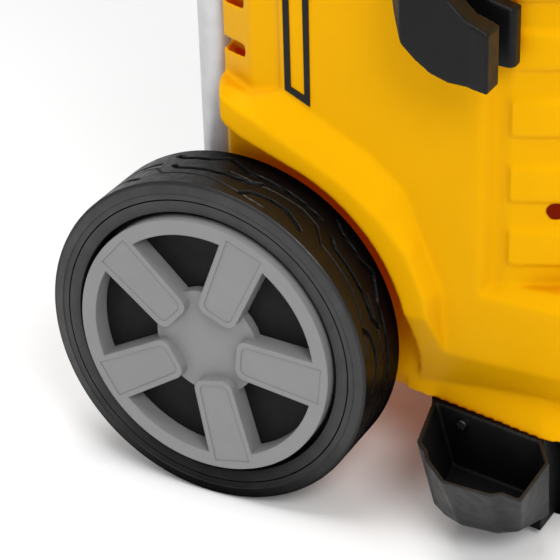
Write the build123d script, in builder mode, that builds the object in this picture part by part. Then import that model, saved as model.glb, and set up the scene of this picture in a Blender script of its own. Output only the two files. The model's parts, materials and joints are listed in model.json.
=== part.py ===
from build123d import *
from math import cos, sin, radians, tan
import os

# Upright electric pressure washer on two wheels and a front foot.
# Millimetres, +Z up, the front faces -Y. Origin: on the ground, under the middle of the object.

# ---- driving dimensions -------------------------------------------------------------------------
tyre_radius = 127            # a 10 inch wheel
tyre_width = 58
track_half = 190             # mid-plane to the outer face of a hub cap
overall_depth = 416          # front of the foot to the back of the tyres
reach_half = 213             # mid-plane to the outermost face of the cup and of the cord hooks
wall_x = 127                 # mid-plane to the flat side of the housing
body_bottom_z = 81
housing_top_z = 470
cover_top_z = 545
wall = 3                     # moulded wall thickness
ground_z = 0

axle_y = overall_depth / 2 - tyre_radius
axle_z = tyre_radius
front_y = -overall_depth / 2
rear_wall_y = axle_y + 18    # back of the housing

# wheel
hub_cap_radius = 99.7
cap_ring_inner = 88.3
cap_depth = 15.3             # face of the cap to the black wheel disc behind it
rim_radius = 103
disc_thickness = 4
wheel_hub_radius = 20
axle_radius = 6
running_gap = 0.05           # radial play of a shaft in its bore
bush_wall = 4
side_gap = 0.4               # play along an axle
spoke_count = 5
first_spoke = 41.4           # degrees above the rearward direction
spoke_half_outer = 18.5
spoke_half_inner = 15.5
spoke_inner_end = 27
spoke_border = 4.2
spoke_panel_depth = 0.7

# wheel arch
arch_gap = 10
well_x = 112                 # mid-plane to the flat wall of the wheel well
fender_out = 13              # how far the fender stands off the housing side
arch_radius = tyre_radius + arch_gap

# front corner recess
recess_back = 8              # how far the panel is set back from the side
recess_start_y = axle_y - 184
panel_start_y = axle_y - 203
panel_angle = 25             # degrees, in plan
panel_end_y = axle_y - 265
recess_bottom_z = axle_z + 53
rib_height = 28
rib_pitch = 48
rib_out = 6
rib_count = 5
first_rib_z = axle_z + 79
panel_hole_radius = 5.5

# lower side
turn_in_top_z = axle_z + 2
turn_in = 15                 # how far the lower side leans in
lip_height = 26

# handle
tube_radius = 15
tube_wall = 1.5
tube_x = 85
tube_y = rear_wall_y + tube_radius + 2
tube_bottom_z = 150
tube_top_z = 560
slide_gap = 0.4
handle_travel = 290
handle_top_z = 660
bend_radius = 32
grip_length = 104

# motor and pump, standing on one vertical axis
motor_y = -40
can_radius = 62
can_wall = 2.5
can_height = 123
bell_height = 12
pump_bottom_z = 205
pump_radius = 46
pump_height = 80
shaft_radius = 8
bearing_radius = 17
bearing_height = 9
rotor_radius = 34
air_gap = 0.5
piston_count = 3
piston_radius = 6
piston_circle = 22
piston_stroke = 7
swash_radius = 30
swash_tilt = 8
fan_height = 14
fan_hub_radius = 16
fan_blade = can_radius - fan_hub_radius - 4
fan_blade_count = 7
motor_clearance = 8          # between the motor and what stands beside it
tank_low_x = -60
tank_high_x = 88
tank_wall = 2.5

# lance cup and lance holder, on the left side
cup_rim_z = axle_z - 44
cup_bottom_z = axle_z - 98
cup_wall = 3
cup_foot_edge = 5
cup_head_gap = 1.2           # the head stands clear of the sloping inner face
holder_inner = 12
holder_slot = 21
holder_arm = 18
holder_height = 100

# controls
knob_x = -52
knob_y = -30
knob_radius = 24
stem_radius = 4
stem_hole_radius = 8.5
cap_x = 62
cap_y = -124
cap_radius = 23
neck_radius = 15
wall_play = 0.4             # radial play of loose round parts
hook_y = -30
hook_low_z = 300
hook_high_z = 430
hook_post_radius = 13
hook_stud_radius = 7
hook_arm = 12
hook_length = 58

os.makedirs("parts", exist_ok=True)


def save(piece, name):
    """Label a finished piece and write it out."""
    piece.part.label = name
    export_step(piece.part, "parts/" + name + ".step")


def prism(plane, points, depth, mode=Mode.ADD, corner=0):
    """A straight prism on a plane, with its corners rounded where a radius is given."""
    with BuildSketch(plane) as outline:
        with BuildLine():
            Polyline(*points, close=True)
        make_face()
        if corner:
            fillet(outline.vertices(), corner)
    extrude(outline.sketch, amount=depth, mode=mode)


def prism_x(points, low, high, mode=Mode.ADD, corner=0):
    """A (y, z) outline between two values of x."""
    prism(Plane.YZ.offset(low), points, high - low, mode, corner)


def prism_y(points, low, high, mode=Mode.ADD, corner=0):
    """An (x, z) outline between two values of y."""
    prism(Plane.XZ.offset(-high), points, high - low, mode, corner)


def prism_z(points, low, high, mode=Mode.ADD, corner=0):
    """An (x, y) outline between two values of z."""
    prism(Plane.XY.offset(low), points, high - low, mode, corner)


def block(x, y, z, mode=Mode.ADD, corner=0):
    """A block between three (low, high) pairs."""
    points = [(x[0], y[0]), (x[1], y[0]), (x[1], y[1]), (x[0], y[1])]
    prism_z(points, z[0], z[1], mode, corner)


def disc(plane, centre, radius, depth, mode=Mode.ADD, bore=0):
    """A round bar or a tube on a plane."""
    with BuildSketch(plane) as outline:
        with Locations(centre):
            Circle(radius)
            if bore:
                Circle(bore, mode=Mode.SUBTRACT)
    extrude(outline.sketch, amount=depth, mode=mode)


def disc_x(y, z, radius, low, high, mode=Mode.ADD, bore=0):
    disc(Plane.YZ.offset(low), (y, z), radius, high - low, mode, bore)


def disc_y(x, z, radius, low, high, mode=Mode.ADD, bore=0):
    disc(Plane.XZ.offset(-high), (x, z), radius, high - low, mode, bore)


def disc_z(x, y, radius, low, high, mode=Mode.ADD, bore=0):
    disc(Plane.XY.offset(low), (x, y), radius, high - low, mode, bore)


def ruled(low_plane, low_points, high_plane, high_points, mode=Mode.ADD):
    """A solid with flat or slightly twisted sides between two outlines."""
    with BuildSketch(low_plane) as low:
        with BuildLine():
            Polyline(*low_points, close=True)
        make_face()
    with BuildSketch(high_plane) as high:
        with BuildLine():
            Polyline(*high_points, close=True)
        make_face()
    loft([low.sketch, high.sketch], ruled=True, mode=mode)


def coil(plane, radius, wire, length, turns):
    """A helical spring standing on a plane."""
    with BuildPart() as spring:
        with BuildLine(plane.offset(wire)) as path:
            Helix(pitch=(length - 2 * wire) / turns, height=length - 2 * wire, radius=radius)
        with BuildSketch(Plane(path.line @ 0, z_dir=path.line % 0)):
            Circle(wire)
        sweep(is_frenet=True)
    return spring


def around_axle(angle, radius):
    """A (y, z) point at an angle above the rearward direction, seen from the axle."""
    return (axle_y + radius * cos(radians(angle)), axle_z + radius * sin(radians(angle)))


# ---- shared outlines ----------------------------------------------------------------------------
panel_x = wall_x - recess_back
panel_end_x = panel_x - (panel_start_y - panel_end_y) * tan(radians(panel_angle))
upper_front_y = front_y + 10
rear_panel_x = wall_x - 4
corner_in = 13               # plan size of the corner that carries the vents, across and along
corner_along = 29
rear_panel_along = 50


def upper_plan(inset):
    """Plan of the left half above the fender, from the mid-plane round to the back."""
    return [
        (0, upper_front_y + inset),
        (-panel_end_x + 17 + inset, upper_front_y + inset),
        (-panel_end_x + inset, panel_end_y + inset),
        (-panel_x + inset, panel_start_y + inset / 2),
        (-panel_x + inset, recess_start_y - recess_back),
        (-wall_x + inset, recess_start_y),
        (-wall_x + inset, rear_wall_y - rear_panel_along - 4),
        (-rear_panel_x + inset, rear_wall_y - rear_panel_along),
        (-rear_panel_x + inset, rear_wall_y - corner_along),
        (-rear_panel_x + corner_in, rear_wall_y - inset),
        (0, rear_wall_y - inset),
    ]


def lower_plan(inset):
    """Plan of the left half below the recess."""
    return [
        (0, front_y + inset),
        (-wall_x + 34 + inset, front_y + inset),
        (-wall_x + inset, front_y + 36),
        (-wall_x + inset, rear_wall_y - inset),
        (0, rear_wall_y - inset),
    ]


crease = [
    (rear_wall_y - 4.5, axle_z + 178),
    (rear_wall_y - corner_along, axle_z + 173),
    (axle_y - 36, axle_z + 180),
    around_axle(125.5, arch_radius + 41),
    around_axle(136, arch_radius + 41),
    around_axle(148, arch_radius + 30),
    around_axle(162, arch_radius + 28),
    (axle_y - arch_radius - 23, turn_in_top_z - 4),
    (axle_y - arch_radius - 9, body_bottom_z),
    (rear_wall_y - 4.5, body_bottom_z),
]
fender_edge = [
    (axle_y + 6, axle_z + 175),
    (axle_y - 7, axle_z + 165.5),
    around_axle(99, arch_radius + 21),
    around_axle(124.5, arch_radius + 14),
    around_axle(138.5, arch_radius + 17),
    around_axle(150, arch_radius + 21),
    around_axle(163, arch_radius + 20),
    (axle_y - arch_radius - 18, turn_in_top_z - 4),
    (axle_y - arch_radius - 6, body_bottom_z),
    (axle_y + 6, body_bottom_z),
]
flare = [
    around_axle(112, arch_radius),
    (axle_y - 9, axle_z + 143.5),
    (axle_y + 3, axle_z + 151),
    (axle_y + 8, axle_z + 157),
    (axle_y + 30, axle_z + 166),
    (axle_y + 30, body_bottom_z - 1),
    (axle_y - arch_radius - 4, body_bottom_z - 1),
    (axle_y - arch_radius, axle_z),
    (axle_y, axle_z),
]
heel = [
    (axle_y - 6, axle_z + 136),
    (axle_y + 9, axle_z + 144.5),
    (axle_y + 16, axle_z + 152),
    (axle_y + 40, axle_z + 160),
    (axle_y + 40, axle_z + 100),
]
fender_fill = [
    (rear_wall_y, axle_z + 178.2),
    (rear_wall_y - corner_along, axle_z + 173),
    (axle_y - 36, axle_z + 180),
    (axle_y - 36, axle_z + 120),
    (rear_wall_y, axle_z + 120),
]
rear_chamfer = [
    (-wall_x + 12, rear_wall_y),
    (-wall_x, rear_wall_y - 4.5),
    (-wall_x - fender_out - 1, rear_wall_y - 12.6),
    (-wall_x - fender_out - 1, rear_wall_y + 1),
    (-wall_x + 12, rear_wall_y + 1),
]

boss_places = [
    (front_y + 26, body_bottom_z + 22),
    (upper_front_y + 18, housing_top_z - 20),
    (rear_wall_y - 8, housing_top_z - 20),
    (rear_wall_y - 8, body_bottom_z + 165),
]
boss_radius = 5.5
screw_radius = 1.8
screw_head_radius = 3.6
screw_seat_x = 24
inlet_x = -28
outlet_x = 28
collar_radius = 15
port_z = 185
gland_x = 58
gland_z = 330
vent_count = 4
vent_pitch = 36
vent_height = 8
first_vent_z = axle_z + 196.5
vent_front_y = axle_y - 4.5
vent_inner_x = 99            # mid-plane to the inner end of a vent
baffle_gap = 6               # behind the corner wall
baffle_thickness = 2.2
baffle_top_z = first_vent_z + (vent_count - 1) * vent_pitch + vent_height + 5
cavity_low_x = well_x - wall
cavity_step_z = axle_z + arch_radius + 10

# ---- left housing -------------------------------------------------------------------------------
with BuildPart() as rib:
    ridge = [
        (0, upper_front_y - rib_out),
        (-panel_end_x + 14, upper_front_y - rib_out),
        (-panel_end_x - 5, panel_end_y - 3),
        (-panel_x - 2.5, panel_start_y - 1),
        (-panel_x + 1.5, panel_start_y + 6),
        (-panel_x + 20, panel_start_y),
        (-panel_end_x + 24, panel_end_y),
        (0, upper_front_y + 8),
    ]
    prism_z(ridge, first_rib_z, first_rib_z + rib_height)
    long_edges = rib.faces().group_by(Axis.Z)[0].edges() + rib.faces().group_by(Axis.Z)[-1].edges()
    off_middle = long_edges.filter_by(lambda e: e.center().X < -1)
    fillet(off_middle.filter_by(lambda e: e.center().Y < panel_start_y - 3 or e.center().X < -panel_x - 0.2), 2)

with BuildPart() as left_housing:
    prism_z(upper_plan(0), recess_bottom_z, housing_top_z)
    prism_z(lower_plan(0), body_bottom_z, recess_bottom_z)
    step_back = recess_start_y
    ruled(
        Plane.XY.offset(recess_bottom_z),
        [
            (0, front_y),
            (-wall_x + 34, front_y),
            (-wall_x, front_y + 36),
            (-wall_x, step_back),
            (0, step_back),
        ],
        Plane.XY.offset(recess_bottom_z + 10),
        [
            (0, front_y + 9),
            (-wall_x + 38, front_y + 9),
            (-panel_x, front_y + 40),
            (-panel_x, step_back),
            (0, step_back),
        ],
    )
    ruled(Plane.YZ.offset(-wall_x), crease, Plane.YZ.offset(-wall_x - fender_out), fender_edge)
    prism_x(fender_fill, -wall_x, -well_x)
    # the lower side leans in, down to a lip along the bottom edge
    lean = turn_in / (axle_z - turn_in_top_z + 38)
    outer_x = wall_x + 30
    side_cut = [
        (-outer_x, turn_in_top_z + 30 / lean),
        (-wall_x, turn_in_top_z),
        (-wall_x + lean * (turn_in_top_z - body_bottom_z), body_bottom_z),
        (-outer_x, body_bottom_z),
    ]
    prism_y(side_cut, front_y - 1, rear_wall_y + 1, mode=Mode.SUBTRACT)
    ruled(
        Plane.XY.offset(body_bottom_z),
        [(-80, axle_y - 122), (-113, axle_y - 122), (-114.5, axle_y - 146), (-133, axle_y - 237),
         (-130, axle_y - 262), (-98, front_y + 2), (-60, front_y + 4)],
        Plane.XY.offset(body_bottom_z + lip_height),
        [(-80, axle_y - 124), (-108, axle_y - 130), (-110, axle_y - 150), (-113, axle_y - 228),
         (-112, axle_y - 252), (-88, front_y + 12), (-60, front_y + 14)],
    )
    with Locations(*[(0, 0, i * rib_pitch) for i in range(rib_count)]):
        add(rib.part)
    # wheel well, with its outer edge flared towards the back and the bottom
    disc_x(axle_y, axle_z, arch_radius, -wall_x - fender_out - 5, -well_x, mode=Mode.SUBTRACT)
    prism_x(flare, -wall_x - fender_out - 5, -wall_x - 1, mode=Mode.SUBTRACT)
    prism_x(heel, -wall_x - 2, -well_x, mode=Mode.SUBTRACT)
    prism_z(rear_chamfer, body_bottom_z - 1, axle_z + 190, mode=Mode.SUBTRACT)
    # inside
    inner_plan = [
        (0, upper_front_y + wall),
        (-panel_end_x + 17 + wall, upper_front_y + wall),
        (-panel_end_x + wall, panel_end_y + wall),
        (-cavity_low_x + 3, panel_start_y - 24),
        (-cavity_low_x + 3, rear_wall_y - wall),
        (0, rear_wall_y - wall),
    ]
    prism_z(inner_plan, body_bottom_z + wall, cavity_step_z, mode=Mode.SUBTRACT)
    prism_z(upper_plan(wall), cavity_step_z, housing_top_z + 1, mode=Mode.SUBTRACT)
    # vents across the rear corner, with a baffle behind them that keeps spray out
    for i in range(vent_count):
        low = first_vent_z + i * vent_pitch
        block(
            (-wall_x - 1, -vent_inner_x),
            (vent_front_y, rear_wall_y + 5),
            (low, low + vent_height),
            mode=Mode.SUBTRACT,
        )
    baffle_front_x = -rear_panel_x + wall + baffle_gap
    baffle_rear_x = baffle_front_x + corner_in + 2
    baffle = [
        (-rear_panel_x + wall - 0.5, rear_wall_y - corner_along - 9),
        (baffle_front_x, rear_wall_y - corner_along - 2),
        (baffle_rear_x, rear_wall_y - wall + 0.5),
        (baffle_rear_x + baffle_thickness + 0.5, rear_wall_y - wall + 0.5),
        (baffle_front_x + baffle_thickness, rear_wall_y - corner_along - 4),
        (-rear_panel_x + wall - 0.5, rear_wall_y - corner_along - 12),
    ]
    prism_z(baffle, first_vent_z - 5, baffle_top_z)
    # a drain and bleed hole in the corner panel
    hole_y = axle_y - 230
    disc_x(hole_y, axle_z + 119, panel_hole_radius, -wall_x, -wall_x + 60, mode=Mode.SUBTRACT)
    for place in boss_places:
        disc_x(place[0], place[1], boss_radius, -cavity_low_x + 12, 0)
        disc_x(place[0], place[1], screw_radius + running_gap, -24, 1, mode=Mode.SUBTRACT)
    disc_x(axle_y, axle_z, axle_radius + running_gap, -well_x - 1, 0, mode=Mode.SUBTRACT)
    disc_y(inlet_x, port_z, collar_radius + 0.1, rear_wall_y - wall - 1, rear_wall_y + 1, mode=Mode.SUBTRACT)
save(left_housing, "left_housing")

# ---- right housing ------------------------------------------------------------------------------
with BuildPart() as right_housing:
    add(left_housing.part)
    mirror(about=Plane.YZ, mode=Mode.REPLACE)
    disc_y(gland_x, gland_z, 8.1, rear_wall_y - wall - 1, rear_wall_y + 1, mode=Mode.SUBTRACT)
    past_side = wall_x + 30
    for place in boss_places:
        disc_x(place[0], place[1], screw_radius + wall_play, 0, past_side, mode=Mode.SUBTRACT)
        disc_x(place[0], place[1], screw_head_radius + wall_play, screw_seat_x, past_side, mode=Mode.SUBTRACT)
    disc_x(hook_y, hook_high_z, hook_stud_radius, wall_x - 1, reach_half - hook_arm - 10)
save(right_housing, "right_housing")

# ---- top cover with its control panel ----------------------------------------------------------
cover_z = housing_top_z + 0.2
cover_front_z = housing_top_z + 22
with BuildPart() as top_cover:
    whole_plan = upper_plan(0) + [(-x, y) for x, y in reversed(upper_plan(0)[1:-1])]
    prism_z(whole_plan, cover_z, cover_top_z)
    slope = [
        (upper_front_y - 1, cover_front_z),
        (upper_front_y + 46, cover_top_z),
        (upper_front_y + 46, cover_top_z + 1),
        (upper_front_y - 1, cover_top_z + 1),
    ]
    prism_x(slope, -wall_x - 1, wall_x + 1, mode=Mode.SUBTRACT)
    top_edges = top_cover.faces().sort_by(Axis.Z)[-1].edges()
    chamfer(top_edges.filter_by(lambda e: e.center().Y > upper_front_y + 47), 6)
    inner_whole = upper_plan(wall + 5) + [(-x, y) for x, y in reversed(upper_plan(wall + 5)[1:-1])]
    prism_z(inner_whole, cover_z - 1, cover_front_z - 8, mode=Mode.SUBTRACT)
    roof = [
        (panel_x - 22, upper_front_y + 50),
        (panel_x - 8, panel_start_y + 6),
        (panel_x - 8, rear_wall_y - 24),
        (-panel_x + 8, rear_wall_y - 24),
        (-panel_x + 8, panel_start_y + 6),
        (-panel_x + 22, upper_front_y + 50),
    ]
    prism_z(roof, cover_z - 1, cover_top_z - wall, mode=Mode.SUBTRACT)
    under_slope = [
        (upper_front_y + 9, cover_z - 1),
        (upper_front_y + 9, cover_front_z - 6),
        (upper_front_y + 51, cover_top_z - 10),
        (upper_front_y + 51, cover_z - 1),
    ]
    prism_x(under_slope, -panel_end_x + 28, panel_end_x - 28, mode=Mode.SUBTRACT)
    under_top = cover_top_z - wall - 1
    disc_z(knob_x, knob_y, stem_hole_radius, under_top, cover_top_z + 1, mode=Mode.SUBTRACT)
    disc_z(cap_x, cap_y, neck_radius + 2 * wall_play, under_top, cover_top_z + 1, mode=Mode.SUBTRACT)
save(top_cover, "top_cover")

# ---- front foot frame with its rubber feet -------------------------------------------------------
foot_pad = 6
foot_x = wall_x - 25
cup_back_rear = (-118.5, axle_y - 147)
cup_back_front = (-135, axle_y - 237)
cup_back = Vector(cup_back_front[0] - cup_back_rear[0], cup_back_front[1] - cup_back_rear[1], 0)
cup_out = Vector(cup_back.Y, -cup_back.X, 0).normalized()
cup_screw_planes = [
    Plane(Vector(cup_back_rear[0], cup_back_rear[1], z) + cup_back * share, z_dir=cup_out)
    for share, z in ((0.31, axle_z - 53),)
]
with BuildPart() as base_frame:
    half = [
        (0, front_y + 12),
        (-foot_x + 16, front_y + 12),
        (-foot_x, front_y + 26),
        (-foot_x, cup_back_front[1] - 2),
        (cup_back_front[0] + 0.5, cup_back_front[1] - 1),
        (cup_back_rear[0] + 0.5, cup_back_rear[1] + 1),
        (cup_back_rear[0] + 12, cup_back_rear[1] + 6),
        (0, cup_back_rear[1] + 6),
    ]
    full = half + [(-x, y) for x, y in reversed(half[1:-1])]
    prism_z(full, foot_pad, body_bottom_z - 0.2)
    block(
        (-foot_x + 5, foot_x - 5),
        (front_y + 18, cup_back_rear[1]),
        (0, body_bottom_z - 5),
        mode=Mode.SUBTRACT,
    )
    # the space between the feet is open along the front and the back
    block((-foot_x + 30, foot_x - 30), (front_y - 1, cup_back_rear[1] + 20), (0, 40), mode=Mode.SUBTRACT)
    for plane in cup_screw_planes:
        disc(plane.offset(-14), (0, 0), screw_radius + running_gap, 15, mode=Mode.SUBTRACT)
save(base_frame, "base_frame")

with BuildPart() as front_feet:
    for side in (-1, 1):
        edges = sorted((side * foot_x, side * (foot_x - 30)))
        block((edges[0], edges[1]), (front_y + 28, front_y + 96), (ground_z, foot_pad), corner=3)
save(front_feet, "front_feet")

# ---- lance cup ----------------------------------------------------------------------------------
# (distance in from the outermost face, distance behind the axle), round the rim and round the bottom
cup_rim = [
    (94.2, -147.2), (39.4, -159.5), (31.2, -168.2), (21.5, -173.8), (1.1, -195.4),
    (0, -231.3), (4.9, -237.5), (2.6, -252.9), (53.6, -252.6), (77.3, -237.4),
]
cup_foot = [
    (90, -163), (40, -172.5), (36, -178), (31, -184.5), (25.5, -198),
    (27.5, -227), (31, -231), (36.5, -240), (62.5, -250.5), (77.5, -239),
]
def cup_outline(points, inset):
    with BuildSketch(Plane.XY) as outline:
        with BuildLine():
            Polyline(*[(-reach_half + x, axle_y + y) for x, y in points], close=True)
        make_face()
        if inset:
            offset(amount=-inset, kind=Kind.INTERSECTION)
    return outline.sketch


with BuildPart() as lance_cup:
    foot_section = Pos(0, 0, cup_bottom_z + cup_foot_edge) * cup_outline(cup_foot, 0)
    loft([foot_section, Pos(0, 0, cup_rim_z) * cup_outline(cup_rim, 0)], ruled=True)
    loft([Pos(0, 0, cup_bottom_z) * cup_outline(cup_foot, cup_foot_edge), foot_section], ruled=True)
    loft(
        [
            Pos(0, 0, cup_bottom_z + 8) * cup_outline(cup_foot, cup_wall),
            Pos(0, 0, cup_rim_z) * cup_outline(cup_rim, cup_wall),
        ],
        ruled=True,
        mode=Mode.SUBTRACT,
    )
    for plane in cup_screw_planes:
        disc(plane, (0, 0), screw_radius + 0.2, 8, mode=Mode.SUBTRACT)
save(lance_cup, "lance_cup")

# ---- lance holder and the screws of the cup and the holder ---------------------------------------
holder_x = wall_x + holder_inner + holder_slot + holder_arm
holder_back_y = axle_y - 138
holder_front_y = axle_y - 211
holder_low_z = axle_z + 232
with BuildPart() as lance_holder:
    side = [
        (holder_back_y, holder_low_z + 51),
        (holder_back_y - 4, holder_low_z + 38),
        (holder_back_y - 12, holder_low_z + 22),
        (holder_back_y - 22, holder_low_z + 13),
        (holder_back_y - 32, holder_low_z + 6),
        (holder_back_y - 44, holder_low_z + 2),
        (holder_front_y, holder_low_z),
        (holder_front_y, holder_low_z + 41),
        (holder_front_y + 16, holder_low_z + 45),
        (holder_front_y + 30, holder_low_z + 58),
        (holder_front_y + 40, holder_low_z + holder_height - 14),
        (holder_front_y + 44, holder_low_z + holder_height),
        (holder_back_y, holder_low_z + holder_height),
    ]
    prism_x(side, -holder_x - 5, -wall_x)
    hook = [
        (-wall_x, holder_back_y),
        (-holder_x + 11, holder_back_y),
        (-holder_x, holder_back_y - 11),
        (-holder_x, holder_front_y + 15),
        (-holder_x - 4, holder_front_y),
        (-holder_x + holder_arm - 3, holder_front_y),
        (-holder_x + holder_arm, holder_front_y + 12),
        (-holder_x + holder_arm, holder_back_y - 16),
        (-wall_x - holder_inner, holder_back_y - 16),
        (-wall_x - holder_inner, holder_front_y + 3),
        (-wall_x - holder_inner + 3, holder_front_y),
        (-wall_x, holder_front_y),
    ]
    prism_z(hook, holder_low_z - 1, holder_low_z + holder_height + 1, mode=Mode.INTERSECT)
    holder_screw_places = [(holder_back_y - 30, holder_low_z + 40), (holder_back_y - 30, holder_low_z + 80)]
    for place in holder_screw_places:
        holder_inside = -wall_x - holder_inner - 1
        disc_x(place[0], place[1], screw_radius + 0.2, holder_inside, -wall_x, mode=Mode.SUBTRACT)
save(lance_holder, "lance_holder")

with BuildPart() as accessory_screws:
    for plane in cup_screw_planes:
        disc(plane.offset(-10), (0, 0), screw_radius, 10 + cup_wall + cup_head_gap)
        disc(plane.offset(cup_wall + cup_head_gap), (0, 0), screw_head_radius, 2)
    for place in holder_screw_places:
        disc_x(place[0], place[1], screw_radius, -wall_x - holder_inner, -wall_x)
        disc_x(place[0], place[1], screw_head_radius, -wall_x - holder_inner - 2, -wall_x - holder_inner)
save(accessory_screws, "accessory_screws")

# ---- label frames on both sides ------------------------------------------------------------------
label_y = axle_y - 39
label_z = axle_z + 181.5
label_depth = 0.8
with BuildPart() as side_labels:
    border = [
        (label_y, label_z),
        (label_y - 19, label_z - 9.5),
        (label_y - 19.5, label_z + 69),
        (label_y - 25, label_z + 75),
        (label_y - 25, label_z + 142),
        (label_y, label_z + 154),
    ]
    window = [
        (label_y - 4.5, label_z + 3),
        (label_y - 15, label_z - 2),
        (label_y - 15, label_z + 71),
        (label_y - 20.5, label_z + 77),
        (label_y - 20.5, label_z + 139),
        (label_y - 4.5, label_z + 146.5),
    ]
    for side in (-wall_x - label_depth, wall_x):
        prism_x(border, side, side + label_depth)
        prism_x(window, side, side + label_depth, mode=Mode.SUBTRACT)
save(side_labels, "side_labels")

# ---- wheels: each is a tyre, a black wheel, a hub cap and a bush ---------------------------------
wheel_plane = Plane((-track_half, axle_y, axle_z), x_dir=(1, 0, 0), z_dir=(0, -1, 0))
wheel_axis = Axis((-track_half, axle_y, axle_z), (1, 0, 0))
tyre_face = 3                # set back from the hub cap
tyre_back = tyre_face + tyre_width
disc_face = cap_depth + 0.1
rim_back = tyre_back - 3
groove_radius = 113
plate_radius = 41


def turned(points):
    """A solid of revolution about the wheel's axle; points are (distance inboard, radius)."""
    with BuildSketch(wheel_plane) as profile:
        with BuildLine():
            Polyline(*points, close=True)
        make_face()
    revolve(profile.sketch, axis=wheel_axis)


def save_pair(piece, name):
    """Write a wheel piece for the left wheel, and its mirror image for the right one."""
    save(piece, "left_" + name)
    with BuildPart() as other:
        add(piece.part)
        mirror(about=Plane.YZ, mode=Mode.REPLACE)
    save(other, "right_" + name)


with BuildPart() as tyre:
    turned([
        (disc_face, rim_radius),
        (rim_back, rim_radius),
        (tyre_back - 1, rim_radius + 3),
        (tyre_back, rim_radius + 9),
        (tyre_back, tyre_radius - 1.5),
        (tyre_back - 1.5, tyre_radius),
        (tyre_face + 1.5, tyre_radius),
        (tyre_face, tyre_radius - 1.5),
        (tyre_face, tyre_radius - 8),
        (tyre_face + 0.8, tyre_radius - 9),
        (tyre_face + 0.8, groove_radius + 0.4),
        (tyre_face + 1.6, groove_radius),
        (tyre_face + 0.8, groove_radius - 0.4),
        (tyre_face + 1.2, rim_radius + 1),
        (tyre_face + 3, rim_radius - 1.2),
        (disc_face, rim_radius - 1.2),
    ])
save_pair(tyre, "tyre")

with BuildPart() as rim:
    turned([
        (disc_face, axle_radius + running_gap + bush_wall),
        (disc_face, rim_radius - 1.3),
        (disc_face + 0.2, rim_radius),
        (rim_back, rim_radius),
        (rim_back, rim_radius - 3),
        (disc_face + disc_thickness, rim_radius - 3),
        (disc_face + disc_thickness, wheel_hub_radius),
        (tyre_back - 1, wheel_hub_radius),
        (tyre_back - 1, axle_radius + running_gap + bush_wall),
    ])
save_pair(rim, "rim")

with BuildPart() as bush:
    bush_radius = axle_radius + running_gap + bush_wall
    bush_bore = axle_radius + running_gap
    disc_x(axle_y, axle_z, bush_radius, disc_face - track_half, tyre_back - 1 - track_half, bore=bush_bore)
save_pair(bush, "bush")


def spoke_outline(start, end, half_in, half_out, corner):
    """One spoke of the hub cap, drawn along its own direction and turned into place."""
    with BuildSketch(Plane.XY) as outline:
        with BuildLine():
            Polyline((start, -half_in), (end, -half_out), (end, half_out), (start, half_in), close=True)
        make_face()
        fillet(outline.vertices().sort_by(Axis.X)[0:2], corner)
    return outline.sketch


with BuildPart() as hub_cap:
    face_x = -track_half
    disc_x(axle_y, axle_z, hub_cap_radius, face_x, face_x + cap_depth, bore=cap_ring_inner)
    disc_x(axle_y, axle_z, plate_radius, face_x + cap_depth / 2, face_x + cap_depth)
    for i in range(spoke_count):
        turn = first_spoke + i * 360 / spoke_count
        outward = (0, cos(radians(turn)), sin(radians(turn)))
        place = Plane((face_x, axle_y, axle_z), x_dir=outward, z_dir=(1, 0, 0))
        body = spoke_outline(spoke_inner_end, hub_cap_radius - 3, spoke_half_inner, spoke_half_outer, 8)
        panel = spoke_outline(
            spoke_inner_end + spoke_border,
            cap_ring_inner + 5,
            spoke_half_inner - spoke_border,
            spoke_half_outer - spoke_border,
            5,
        )
        extrude(place * body, amount=cap_depth)
        extrude(place * panel, amount=spoke_panel_depth, mode=Mode.SUBTRACT)
    disc_x(axle_y, axle_z, axle_radius + 7, face_x + cap_depth - 5, face_x + cap_depth, mode=Mode.SUBTRACT)
save_pair(hub_cap, "hub_cap")

with BuildPart() as axle:
    disc_x(axle_y, axle_z, axle_radius, -track_half + cap_depth - 3, track_half - cap_depth + 3)
save(axle, "axle")

with BuildPart() as axle_spacers:
    spacer_out = track_half - tyre_back + 1 - side_gap
    for ends in ((-spacer_out, -well_x - 0.1), (well_x + 0.1, spacer_out)):
        disc_x(axle_y, axle_z, axle_radius + 4, ends[0], ends[1], bore=axle_radius)
save(axle_spacers, "axle_spacers")

with BuildPart() as axle_clips:
    clip_out = track_half - cap_depth + 2.4
    for ends in ((-clip_out, -clip_out + 2), (clip_out - 2, clip_out)):
        disc_x(axle_y, axle_z, axle_radius + 4.5, ends[0], ends[1], bore=axle_radius)
save(axle_clips, "axle_clips")

# ---- handle --------------------------------------------------------------------------------------
inner_tube_radius = tube_radius - tube_wall - slide_gap
inner_tube_bottom_z = tube_top_z - 60 - handle_travel
with BuildPart() as outer_tubes:
    for side in (-tube_x, tube_x):
        disc_z(side, tube_y, tube_radius, tube_bottom_z, tube_top_z, bore=tube_radius - tube_wall)
save(outer_tubes, "outer_tubes")

bracket_height = 34
with BuildPart() as tube_brackets:
    for side in (-tube_x, tube_x):
        for low in (tube_bottom_z + 8, housing_top_z - 60):
            block((side - 22, side + 22), (rear_wall_y, tube_y + 20), (low, low + bracket_height), corner=0)
            disc_z(side, tube_y, tube_radius, low, low + bracket_height, mode=Mode.SUBTRACT)
    chamfer(tube_brackets.edges().filter_by(Axis.Z).group_by(Axis.Y)[-1], 9)
save(tube_brackets, "tube_brackets")

with BuildPart() as tube_collars:
    for side in (-tube_x, tube_x):
        disc_z(side, tube_y, tube_radius + 3, tube_top_z, tube_top_z + 6, bore=inner_tube_radius + 0.3)
        disc_z(side, tube_y, tube_radius + 3, tube_top_z - 14, tube_top_z, bore=tube_radius)
save(tube_collars, "tube_collars")

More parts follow.
